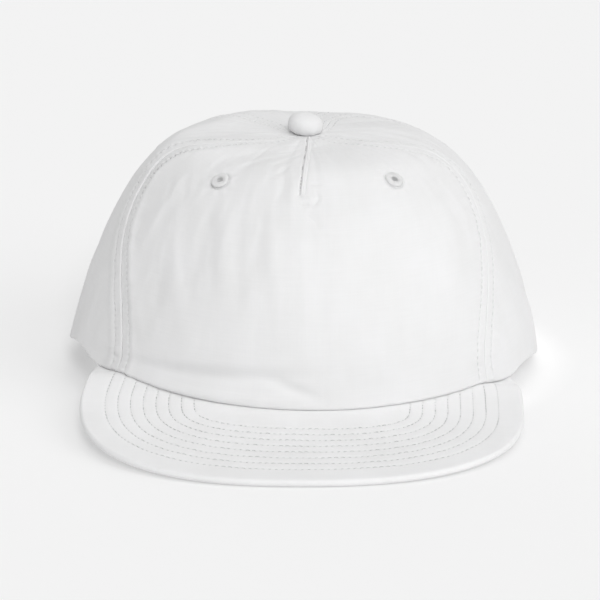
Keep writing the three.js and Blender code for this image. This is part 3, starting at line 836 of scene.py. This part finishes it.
def cloth_material(name, dark, light, pitch=0.42, pale=1.0):
    """Plain woven cotton: crossing threads, thicker threads here and there, and painted shade in the
    hollows.
    pale is how much paler it is near the middle of its own coordinates, as painted light."""
    nodes = Nodes(name)
    place = nodes.add("TexCoord")["UV"]
    parts = nodes.add("SeparateXYZ", {0: place})
    turns = 2 * math.pi / (pitch * MM)
    wander = nodes.math("MULTIPLY", nodes.noise(place, (60, 60, 60), 2.0), 5.0)
    wave = lambda part: nodes.math("SINE", nodes.math("ADD", nodes.math("MULTIPLY", part, turns), wander))
    crossing = nodes.math("MULTIPLY", wave(parts["X"]), wave(parts["Y"]))
    upright = nodes.math("MULTIPLY", nodes.noise(place, (1500, 55, 1), 2.0), 0.6)
    slubs = nodes.math("ADD", nodes.noise(place, (55, 1500, 1), 2.0), upright)
    height = nodes.math("ADD", nodes.math("MULTIPLY", crossing, 0.35), slubs)
    fine = nodes.bump(height, 0.12, 0.12)
    soft = nodes.noise(place, (160, 110, 1), 4.0)
    shade = nodes.noise(place, (38, 30, 1), 5.0)
    colour = nodes.times(nodes.ramp(shade, 0.3, 0.7, dark, light), nodes.ramp(slubs, 0.5, 1.1, 0.98, 1))
    # Painted shade: the colour darkens where the mesh is hollow, in its grooves and creases, by its
    # pointiness.
    hollow_shade = nodes.ramp(nodes.add("NewGeometry")["Pointiness"], 0.47, 0.505, 0.93, 0.98)
    colour = nodes.times(colour, hollow_shade)
    # Painted light: paler towards the middle of the cloth's coordinates, standing in for light thrown back
    # onto the brim from the crown.
    if pale > 1:
        away = nodes.add("VectorMath", {0: place}, operation="LENGTH")["Value"]
        colour = nodes.times(colour, nodes.ramp(away, BOUNCE_PAINT_NEAR * MM, BOUNCE_PAINT_FAR * MM, pale, 1))
    nodes.put(nodes.shader, {
        "Normal": nodes.bump(soft, 0.25, 0.4, Normal=fine),
        "Base Color": colour,
        "Roughness": nodes.rough(shade, 0.82, 0.94),
        "Sheen Weight": 0.12,
        "Sheen Roughness": 0.5,
        "Specular IOR Level": 0.25,
    })
    return nodes.material


def thread_material(name, dark, light, twist=0.5):
    """Sewing thread: two twisted plies, with lighter and darker stretches."""
    nodes = Nodes(name)
    place = nodes.add("TexCoord")
    parts = nodes.add("SeparateXYZ", {0: place["UV"]})
    slant = nodes.math("ADD", parts["X"], parts["Y"])
    plies = nodes.math("SINE", nodes.math("MULTIPLY", slant, 2 * math.pi / (twist * MM)))
    nodes.put(nodes.shader, {
        "Normal": nodes.bump(plies, 0.5, 0.1),
        "Base Color": nodes.ramp(nodes.noise(place["Object"], 260.0), 0.35, 0.65, dark, light),
        "Roughness": 0.7,
        "Sheen Weight": 0.1,
    })
    return nodes.material


def plastic_material(name, dark, light):
    """Moulded plastic with a faint grain and slightly worn, smoother high spots."""
    nodes = Nodes(name)
    place = nodes.add("TexCoord")["Object"]
    shade = nodes.noise(place, 90.0)
    nodes.put(nodes.shader, {
        "Normal": nodes.bump(nodes.noise(place, 2600.0), 0.15, 0.1),
        "Base Color": nodes.ramp(shade, 0.3, 0.7, dark, light),
        "Roughness": nodes.rough(shade, 0.32, 0.48),
    })
    return nodes.material


# Pieces

def crown_panels():
    """The five panels, as the tables that panel_mesh reads."""
    seam = lambda name, side: lambda s: seam_angle(name, side, np.asarray(s, float))
    half_turn = lambda side: lambda s: side * math.pi - back_wander(np.asarray(s, float))
    line = lambda path: crown_point(*path)
    hem = lambda low, high: (line(hem_path(low, high)), False)
    arch = lambda side: (line(arch_path(side)), True)
    front_left, front_right = line(seam_path("front_seam", -1)), line(seam_path("front_seam", 1))
    back_left, back_right = line(seam_path("back_seam", -1)), line(seam_path("back_seam", 1))
    share = np.linspace(ARCH_TOP, 1, 120)
    back_middle = line((share, math.pi - back_wander(share)))

    def mirrored(across, up):
        share, part = back_place(1 - across, up)
        return share, 1 - part

    common = {"place": lambda across, up: (up, across), "raised": None, "front": False}
    side = {**common, "columns": 140, "rows": 220, "edge_share": 0.08, "flat": (0.130, 0.150)}
    back = {**common, "columns": 116, "rows": 200, "edge_share": 0.1, "flat": (0.082, 0.148)}
    panels = {
        "front_panel": {
            **common, "raised": front_left, "front": True, "columns": 304, "rows": 260, "edge_share": 0.04,
            "left": seam("front_seam", -1), "right": seam("front_seam", 1),
            "seams": [front_left, front_right], "edges": [hem(-52, 52)],
            "seed": 20, "flat": (0.196, 0.140), "area": 0.0187,
        },
        "side_panel_left": {
            **side, "left": seam("back_seam", -1), "right": seam("front_seam", -1), "raised": front_left,
            "seams": [back_left, front_left], "edges": [hem(-130, -48)], "seed": 30, "area": 0.0095,
        },
        "side_panel_right": {
            **side, "left": seam("front_seam", 1), "right": seam("back_seam", 1),
            "seams": [front_right, back_right], "edges": [hem(48, 130)], "seed": 40, "area": 0.0099,
        },
        "back_panel_left": {
            **back, "left": half_turn(-1), "right": seam("back_seam", -1), "place": mirrored,
            "seams": [back_left, back_middle], "edges": [hem(-180, -126), arch(-1)],
            "seed": 50, "area": 0.0076,
        },
        "back_panel_right": {
            **back, "left": seam("back_seam", 1), "right": half_turn(1), "place": back_place,
            "seams": [back_right, back_middle], "edges": [hem(126, 180), arch(1)],
            "seed": 60, "area": 0.0075,
        },
    }
    for name, panel in panels.items():
        panel["name"] = name
    return panels


def build_panels(panels, materials):
    for name, panel in panels.items():
        points, faces, uv = panel_mesh(panel)
        piece = add_piece(name + "_cloth", points, faces, materials["panel"], [name], uv)
        if panel["front"]:
            punch_eyelets(piece)


def punch_eyelets(piece):
    """Cuts the round hole of each eyelet through the front panel."""
    sides = 24
    turns = np.linspace(0, 2 * math.pi, sides, endpoint=False)[:, None]
    for share, degrees in EYELETS.values():
        middle, normal, right, up = eyelet_frame(share, degrees)
        ring = CUT_RADIUS * (np.cos(turns) * right + np.sin(turns) * up)
        ends = [middle + ring + normal * side * CUT_LENGTH / 2 for side in (-1, 1)]
        faces = loop_faces(2, sides) + [list(range(sides))[::-1], list(range(sides, 2 * sides))]
        mesh = bpy.data.meshes.new("punch")
        mesh.from_pydata(placed(np.concatenate(ends)), [], faces)
        punch = add_object("punch", mesh)
        cut = piece.modifiers.new("hole", "BOOLEAN")
        cut.operation = "DIFFERENCE"
        cut.object = punch
        cut.solver = "EXACT"
        bpy.context.view_layer.update()
        depsgraph = bpy.context.evaluated_depsgraph_get()
        result = bpy.data.meshes.new_from_object(piece.evaluated_get(depsgraph))
        piece.modifiers.clear()
        old = piece.data
        piece.data = result
        bpy.data.meshes.remove(old)
        bpy.data.objects.remove(punch)


def surface_row(path, panel):
    """Points and normals of a stitch row on a panel's cloth."""
    line = cloth_point(*path, panel)
    count = max(40, int(reach_along(line)[-1] / ROW_STEP))
    both = resampled(np.concatenate([line, crown_normal(*path)], 1), count)
    return both[:, :3], unit(both[:, 3:])


def build_seam_stitches(panels, materials):
    """Topstitching on both sides of each seam, and round the arch."""
    rows = []
    seam_rows = [
        ("front_seam", -1, "side_panel_left", "front_panel"),
        ("front_seam", 1, "front_panel", "side_panel_right"),
        ("back_seam", -1, "back_panel_left", "side_panel_left"),
        ("back_seam", 1, "side_panel_right", "back_panel_right"),
    ]
    for seam, side, left_panel, right_panel in seam_rows:
        path = seam_path(seam, side, SEAM_ROW_LOW, SEAM_ROW_TOP, 260)
        reach = seam_reach(path[0])[:, None]
        rows.append(surface_row(beside(*path, reach), panels[left_panel]))
        rows.append(surface_row(beside(*path, -reach), panels[right_panel]))
    share = np.linspace(ARCH_TOP + 0.03, SEAM_ROW_TOP, 200)
    reach = seam_reach(share)[:, None]
    for way, name in ((1, "back_panel_right"), (-1, "back_panel_left")):
        middle = (share, way * math.pi - back_wander(share))
        rows.append(surface_row(beside(*middle, way * reach), panels[name]))
    for side, name in ((-1, "back_panel_left"), (1, "back_panel_right")):
        share, angle = beside(*arch_path(side, 200), side * EDGE_STITCH)
        kept = (share > 0.004) & (np.abs(angle) < math.pi - 0.035)
        rows.append(surface_row((share[kept], angle[kept]), panels[name]))
    add_stitches("seam_stitches", rows, materials["thread"])


def build_dart_stitches(panels, materials):
    row = surface_row(crown_path(DART, 120), panels["front_panel"])
    add_stitches("dart_stitches", [row], materials["groove_shaded_thread"], DART_PITCH, 1.3, 0.2)


def brim_outline(inset, count):
    """Plan of the brim's outline from its left end round the front to its right end."""
    half = BRIM_HALF - inset
    middle = -(HEM_FRONT - BRIM_SETBACK)
    length = BRIM_LENGTH + BRIM_SETBACK - inset

    def brim_side(side, back_y):
        y = np.linspace(back_y, middle, 40)[:-1]
        x = side * half * np.sqrt(1 - ((y - middle) / BRIM_SIDE_REACH) ** 2)
        return np.stack([x + BRIM_BACK_SHIFT * eased(middle, BRIM_SHIFT_END, y), y], -1)

    turn = np.linspace(-math.pi / 2, math.pi / 2, 401)
    front = np.stack([
        half * np.sign(turn) * np.abs(np.sin(turn)) ** (2 / BRIM_POWER),
        middle - length * np.maximum(np.cos(turn), 0) ** (2 / BRIM_POWER),
    ], -1)
    left, right = brim_side(-1, BRIM_BACK_LEFT), brim_side(1, BRIM_BACK_RIGHT)
    return resampled(np.concatenate([left, front, right[::-1]]), count)


def brim_back_edge(count):
    """Plan of the brim's back edge, which lies under the crown's wall."""
    start = -math.acos(-BRIM_BACK_LEFT / HEM_FRONT)
    end = math.acos(-BRIM_BACK_RIGHT / HEM_FRONT)
    angle = np.linspace(start, end, 300)
    side, front = HEM_SIDE - BRIM_UNDERLAP, HEM_FRONT - BRIM_UNDERLAP
    return resampled(np.stack([side * np.sin(angle), -front * np.cos(angle)], -1), count)


def brim_lift(plan, outline):
    """Channels of the brim's stitch rows, the pillows between them, and slight waves of the cloth."""
    gap, along, _ = line_place(plan, outline)
    last = BRIM_FIRST_ROW + BRIM_ROW_STEP * (BRIM_ROW_COUNT - 1)
    phase = (gap - BRIM_FIRST_ROW) / BRIM_ROW_STEP
    sewn = (gap > BRIM_FIRST_ROW - BRIM_ROW_STEP / 2) & (gap < last + BRIM_ROW_STEP / 2)
    nearest = np.abs(phase - np.round(phase)) * BRIM_ROW_STEP
    turn = 2 * math.pi * along / STITCH_PITCH
    channel = np.where(sewn, -(0.2 + 0.12 * np.cos(turn)) * bell(nearest / 0.45), 0)
    pillow = np.where(sewn, 0.05 * np.sin(math.pi * phase) ** 2, 0.05)
    ripple = 0.06 * noise(along / 3.2, phase * 1.4, 5) * eased(5, 10, gap)
    waves = 0.12 * noise(plan[..., 0] / 22, plan[..., 1] / 16, 6)
    return channel + pillow + ripple + waves * eased(0, 8, gap) - 0.1


def brim_point(plan, outline):
    """Points of the brim's top face over their plan."""
    height = brim_height(plan[..., 0], plan[..., 1]) + brim_lift(plan, outline)
    return np.concatenate([plan, height[..., None]], -1)


def brim_rows(face, back, outline):
    """For each column of the brim's grid, how far forward its points are, closer at the stitch rows."""
    across_row = np.array((-1.9, -1.2, -0.75, -0.4, 0.0, 0.4, 0.75, 1.2, 1.9))
    rows = BRIM_FIRST_ROW + BRIM_ROW_STEP * np.arange(BRIM_ROW_COUNT)
    reach = BRIM_LENGTH + BRIM_SETBACK
    insets = np.concatenate([
        np.linspace(BRIM_EDGE, BRIM_FIRST_ROW - 2.5, 7),
        (rows[:, None] + across_row).ravel(),
        np.linspace(rows[-1] + 3, reach, 12),
    ])
    fine = np.linspace(1, 0, 80)
    sampled = back[:, None] + (face - back)[:, None] * fine[None, :, None]
    gap = line_place(sampled, outline)[0]
    gap = np.maximum.accumulate(gap + np.arange(len(fine)) * 1e-4, axis=1)
    left_over = SQUEEZED_STEP * np.arange(len(insets))[::-1]
    forward = [np.interp(np.minimum(insets, line[-1] - left_over), line, fine) for line in gap]
    return np.array(forward)[:, ::-1]


def build_brim(materials):
    columns, edge_rows, low_rows = 640, 10, 12
    edge, face = brim_outline(0, columns), brim_outline(BRIM_EDGE, columns)
    under = brim_outline(BRIM_EDGE + BRIM_UNDERCUT, columns)
    back = brim_back_edge(columns)
    outline = brim_outline(0, OUTLINE_POINTS)
    up = brim_rows(face, back, outline)[..., None]
    top_rows = up.shape[1]
    plan = back[:, None] + (face - back)[:, None] * up
    top = brim_point(plan, outline)
    turn = np.linspace(0, math.pi, edge_rows + 2)[1:-1]
    bulge = np.sin(turn)[None, :, None]
    start_plan = np.where(turn[None, :, None] < math.pi / 2, face[:, None], under[:, None])
    rim_plan = start_plan + (edge[:, None] - start_plan) * bulge
    start = top[:, -1:, 2]
    bottom_edge = brim_height(under[:, 0], under[:, 1]) - BRIM_THICKNESS
    drop = (1 - np.cos(turn)) / 2
    rim_height = start + (bottom_edge[:, None] - start) * drop
    rim = np.concatenate([rim_plan, rim_height[..., None]], -1)
    down = np.linspace(1, 0, low_rows)[None, :, None]
    low_plan = back[:, None] + (under - back)[:, None] * down
    low_height = brim_height(low_plan[..., 0], low_plan[..., 1]) - BRIM_THICKNESS
    low = np.concatenate([low_plan, low_height[..., None]], -1)
    rings = np.concatenate([top, rim, low], 1)
    size = rings.shape[1]
    faces = grid_faces(columns, size, flip=True)
    for i in range(columns - 1):
        first, second = i * size, (i + 1) * size
        faces.append([second + size - 1, second, first, first + size - 1][::-1])
    faces.append(list(range(size)))
    faces.append([(columns - 1) * size + k for k in reversed(range(size))])
    uv = rings[..., :2].copy()
    uv[..., 1] += np.where(np.arange(size) >= top_rows + edge_rows, 200, 0)
    add_piece("brim_cloth", rings.reshape(-1, 3), faces, materials["brim"], ["brim"],
              uv.reshape(-1, 2), sharp=50)
    build_brim_stitches(outline, materials)


def build_brim_stitches(outline, materials):
    """Rows of stitches that follow the brim's outline, up to where they pass under the crown."""
    rows = []
    along = np.gradient(outline, axis=0)
    inward = unit(np.stack([-along[:, 1], along[:, 0]], -1))
    for k in range(BRIM_ROW_COUNT):
        plan = outline + inward * (BRIM_FIRST_ROW + BRIM_ROW_STEP * k)
        outside = (plan[:, 0] / HEM_SIDE) ** 2 + (plan[:, 1] / HEM_FRONT) ** 2 > 1
        kept = resampled(plan[outside & (plan[:, 1] < BRIM_BACK_RIGHT)], 700)
        line = brim_point(kept, outline)
        normal = np.tile((0, -math.sin(BRIM_SLOPE), math.cos(BRIM_SLOPE)), (len(line), 1))
        rows.append((line, normal))
    add_stitches("brim_stitches", rows, materials["groove_shaded_thread"], STITCH_PITCH, 2.1, 0.2)


def lathe(outline, segments, shape):
    """A closed turned body about Z. shape moves its points and gets them as (outline, turns)."""
    turns = np.linspace(0, 2 * math.pi, segments, endpoint=False)
    radius, height = outline[:, 0][:, None], outline[:, 1][:, None]
    points = np.stack(shape(radius, height, turns[None, :]), -1).reshape(-1, 3)
    ends = [list(range(segments))[::-1], list(range(len(points) - segments, len(points)))]
    return points, loop_faces(len(outline), segments) + ends


def build_button(materials):
    """The cloth-covered button: its cover is gathered towards the underside."""
    base = float(smooth_value("height", BUTTON_SHARE))
    fine = resampled(BUTTON_OUTLINE, 40)
    for _ in range(6):
        fine[1:-1] = (fine[:-2] + 2 * fine[1:-1] + fine[2:]) / 4
    fine[-1, 0] = 0.05
    shank = np.array([(SHANK_RADIUS, -SHANK_DEPTH), (SHANK_RADIUS, -0.3), (4.2, -0.1)])
    outline = np.concatenate([shank, fine])

    def shape(radius, height, turns):
        low = bell((height - 0.4) / 1.7) * (radius > 4)
        gathers = np.cos(11 * turns + 1.1 * np.sin(2 * turns)) + 0.5 * np.cos(17 * turns + 0.7)
        uneven = 0.12 * np.cos(2 * turns + 0.6) + 0.08 * np.cos(3 * turns + 2.0)
        swell = radius * (1 + 0.012 * gathers * low) + uneven * eased(0, 4, radius)
        sag = 0.1 * np.cos(turns - 2.2) * eased(0, 5, height)
        x, y = swell * np.cos(turns), swell * np.sin(turns)
        tilted = -BUTTON_TILT * x + BUTTON_NOD * y
        return LEAN + x, y, base + height + sag + tilted * (height > -0.4)

    points, faces = lathe(outline, 96, shape)
    add_piece("button_cover", points, faces, materials["button"], ["button"],
              points[:, :2])


def build_eyelets(materials):
    """Embroidered rings: thread wound side by side over the edge of each hole."""
    threads, steps = 38, 18
    segments = threads * 8
    half = (EYELET_RADIUS - EYELET_HOLE) / 2
    phi = np.linspace(0, 2 * math.pi, segments, endpoint=False)[None, :]
    turn = np.linspace(-0.25 * math.pi, 1.25 * math.pi, steps)[:, None]
    thread = np.abs(np.sin(phi * threads / 2)) ** 0.6
    radius = EYELET_HOLE + half + half * np.cos(turn) * (0.94 + 0.06 * thread)
    uv = np.stack([phi * EYELET_RADIUS + 0 * turn, turn * half + 0 * phi], -1).reshape(-1, 2)
    for name, (share, degrees) in EYELETS.items():
        middle, normal, right, up = eyelet_frame(share, degrees)
        wobble = noise(phi * threads / (2 * math.pi) + 0.5, turn * 0, 11 + len(name))
        body = 0.80 + 0.14 * thread + 0.05 * wobble
        height = np.maximum(GAP + EYELET_HEIGHT * np.sin(turn) * body, -0.35)
        grid = (middle + (radius * np.cos(phi))[..., None] * right
                + (radius * np.sin(phi))[..., None] * up + height[..., None] * normal)
        add_piece(name + "_thread", grid.reshape(-1, 3), loop_faces(steps, segments, closed=True),
                  materials["eyelet_thread"], [name], uv, sharp=80)


def strap_point(across, up, depth):
    share = STRAP_LOW + (STRAP_HIGH - STRAP_LOW) * up
    angle = np.radians(180 + STRAP_ANGLE * (2 * across - 1))
    inside = WALL + STRAP_GAP + depth
    point = crown_point(share, angle) - crown_normal(share, angle) * inside[..., None]
    point[..., 2] = crown_point(share, np.full(np.shape(share), math.pi))[..., 2]
    return point


def build_strap(materials):
    """The strap: a folded cloth band with a row of stitches along each edge."""
    columns, rows = 181, 25
    across, up = np.meshgrid(np.linspace(0, 1, columns), np.linspace(0, 1, rows), indexing="ij")
    wide = (STRAP_HIGH - STRAP_LOW) * CROWN_ARC
    edge = np.minimum(up, 1 - up) * wide
    relief = 0.22 * bell(edge / 0.5) + 0.16 * bell((edge - STRAP_STITCH) / 0.5)
    relief += 0.03 * noise(across * 40, up * 4, 14)
    outer = strap_point(across, up, relief)
    inner = strap_point(across, up, STRAP_WALL - relief)
    points, faces = shell(outer, inner, 1)
    reach = 2 * math.radians(STRAP_ANGLE) * HEM_FRONT
    uv = np.stack([across * reach, up * wide], -1).reshape(-1, 2)
    add_piece("strap_band", points, faces, materials["strap"], ["back_strap"],
              np.concatenate([uv, uv]))
    place = np.linspace(0.01, 0.99, 300)
    stitch_rows = []
    for level in (STRAP_STITCH / wide, 1 - STRAP_STITCH / wide):
        line = strap_point(place, 0 * place + level, 0 * place + 0.14)
        stitch_rows.append((line, unit(line * (1, 1, 0))))
    add_stitches("strap_stitches", stitch_rows, materials["thread"])


def rounded_loop(width, height, radius, steps):
    """A rounded rectangle round the origin, as points in order."""
    corners = [(1, 1, 0), (-1, 1, 1), (-1, -1, 2), (1, -1, 3)]
    points = []
    for x, y, quarter in corners:
        turns = (quarter + np.linspace(0, 1, steps)) * math.pi / 2
        middle = np.array([x * (width / 2 - radius), y * (height / 2 - radius)])
        points.append(middle + radius * np.stack([np.cos(turns), np.sin(turns)], -1))
    return np.concatenate(points)


def build_slide(materials):
    """The slide: a moulded loop that the strap runs through, with rounded bars."""
    across = 0.5 + (SLIDE_ANGLE - 180) / (2 * STRAP_ANGLE)
    spot = lambda a, u: strap_point(np.array(a), np.array(u), np.array(STRAP_WALL / 2))
    low, high = spot(across, 0.0), spot(across, 1.0)
    up = unit(high - low)
    along = unit(spot(across + 0.02, 0.5) - spot(across - 0.02, 0.5))
    out = unit(np.cross(along, up))
    middle = (low + high) / 2
    path = rounded_loop(SLIDE_HEIGHT - SLIDE_BAR, SLIDE_DEPTH - SLIDE_BAR, 1.2, 8)
    path = resampled(np.concatenate([path, path[:1]]), 97)[:-1]
    ahead = unit(np.roll(path, -1, 0) - np.roll(path, 1, 0))
    side = np.stack([ahead[:, 1], -ahead[:, 0]], -1)
    section = rounded_loop(SLIDE_BAR, SLIDE_WIDTH, 0.6, 6)
    grid = []
    for place, outward in zip(path, side):
        flat = place + section[:, :1] * outward
        grid.append(middle + flat[:, :1] * up + flat[:, 1:] * out + section[:, 1:] * along)
    grid = np.array(grid)
    faces = loop_faces(*grid.shape[:2], closed=True)
    add_piece("strap_slide", grid.reshape(-1, 3), faces, materials["slide"],
              ["strap_buckle"])


# Stage

def add_floor():
    """A pale floor that glows softly, like a light table, and more strongly under the cap: painted light
    that lifts the shade there.
    """
    mesh = bpy.data.meshes.new("floor")
    corners = [(x * FLOOR_HALF, y * FLOOR_HALF, 0) for x, y in ((-1, -1), (1, -1), (1, 1), (-1, 1))]
    mesh.from_pydata(corners, [], [[0, 1, 2, 3]])
    nodes = Nodes("floor_paper")
    place = nodes.add("TexCoord")["Object"]
    away = nodes.add("VectorMath", {0: place, 1: placed(GLOW_MIDDLE)}, operation="DISTANCE")["Value"]
    limits = {"From Min": GLOW_START, "From Max": GLOW_END, "To Min": GLOW_UNDER, "To Max": GLOW_ROUND}
    glow = nodes.add("MapRange", {"Value": away, **limits}, interpolation_type="SMOOTHSTEP")["Result"]
    nodes.put(nodes.shader, {
        "Emission Strength": glow,
        "Emission Color": (1, 1, 1, 1),
        "Base Color": (FLOOR_GREY, FLOOR_GREY, FLOOR_GREY, 1),
        "Roughness": 1.0,
        "Specular IOR Level": 0.0,
    })
    mesh.materials.append(nodes.material)
    add_object("floor", mesh)


def aimed(azimuth, elevation):
    """The way from the cap to a lamp or camera. Azimuth is degrees to the right of the front."""
    turn, lift = math.radians(azimuth), math.radians(elevation)
    return Vector((math.sin(turn) * math.cos(lift), -math.cos(turn) * math.cos(lift), math.sin(lift)))


def add_lights():
    """Broad soft lamps and a white surround."""
    world = bpy.data.worlds.new("studio")
    world.use_nodes = True
    world.node_tree.nodes["Background"].inputs["Color"].default_value = (1, 1, 1, 1)
    world.node_tree.nodes["Background"].inputs["Strength"].default_value = SURROUND_STRENGTH
    bpy.context.scene.world = world
    for name, (azimuth, elevation, strength, softness) in LAMPS.items():
        light = bpy.data.lights.new(name, "SUN")
        light.energy = strength
        light.angle = math.radians(softness)
        add_object(name, light).rotation_euler = aimed(azimuth, elevation).to_track_quat("Z", "Y").to_euler()


def add_camera():
    camera = bpy.data.cameras.new("camera")
    camera.sensor_width = SENSOR_WIDTH
    camera.lens = SENSOR_WIDTH * CAMERA_FOCAL_PIXELS / PICTURE_WIDTH
    camera.clip_end = 100
    camera.shift_x = (PICTURE_WIDTH / 2 - TARGET_PIXEL[0]) / PICTURE_WIDTH
    camera.shift_y = (TARGET_PIXEL[1] - PICTURE_WIDTH / 2) / PICTURE_WIDTH
    back = aimed(0, CAMERA_ELEVATION)
    viewer = add_object("camera", camera)
    viewer.location = Vector(placed(CAMERA_TARGET)) + back * CAMERA_DISTANCE * MM
    viewer.rotation_euler = back.to_track_quat("Z", "Y").to_euler()
    bpy.context.scene.camera = viewer


def make_materials():
    cool = lambda grey: (grey, grey, grey + 0.005)
    return {
        "panel": cloth_material("panel_cloth", 0.80, cool(0.84)),
        # The brim's cloth is a paler copy of the panels' cloth: painted light on the brim.
        "brim": cloth_material("brim_cloth", 0.82, cool(0.86), pale=1.03),
        "button": cloth_material("button_cloth", 0.78, cool(0.83)),
        "strap": cloth_material("strap_web", 0.74, cool(0.80), pitch=0.8),
        # Both threads are greyer than the cloth: painted shade of the grooves they lie in, darkest in the
        # thread of the brim's rows and the dart.
        "thread": thread_material("thread", 0.64, 0.76),
        "groove_shaded_thread": thread_material("groove_shaded_thread", 0.46, 0.56),
        "eyelet_thread": thread_material("eyelet_thread", 0.76, 0.83),
        "slide": plastic_material("slide_plastic", (0.62, 0.62, 0.63), (0.70, 0.70, 0.71)),
    }


def main():
    materials = make_materials()
    panels = crown_panels()
    build_panels(panels, materials)
    build_seam_stitches(panels, materials)
    build_dart_stitches(panels, materials)
    build_brim(materials)
    build_button(materials)
    build_eyelets(materials)
    build_strap(materials)
    build_slide(materials)
    add_floor()
    add_lights()
    add_camera()
    bpy.context.scene.view_settings.view_transform = "Standard"


main()
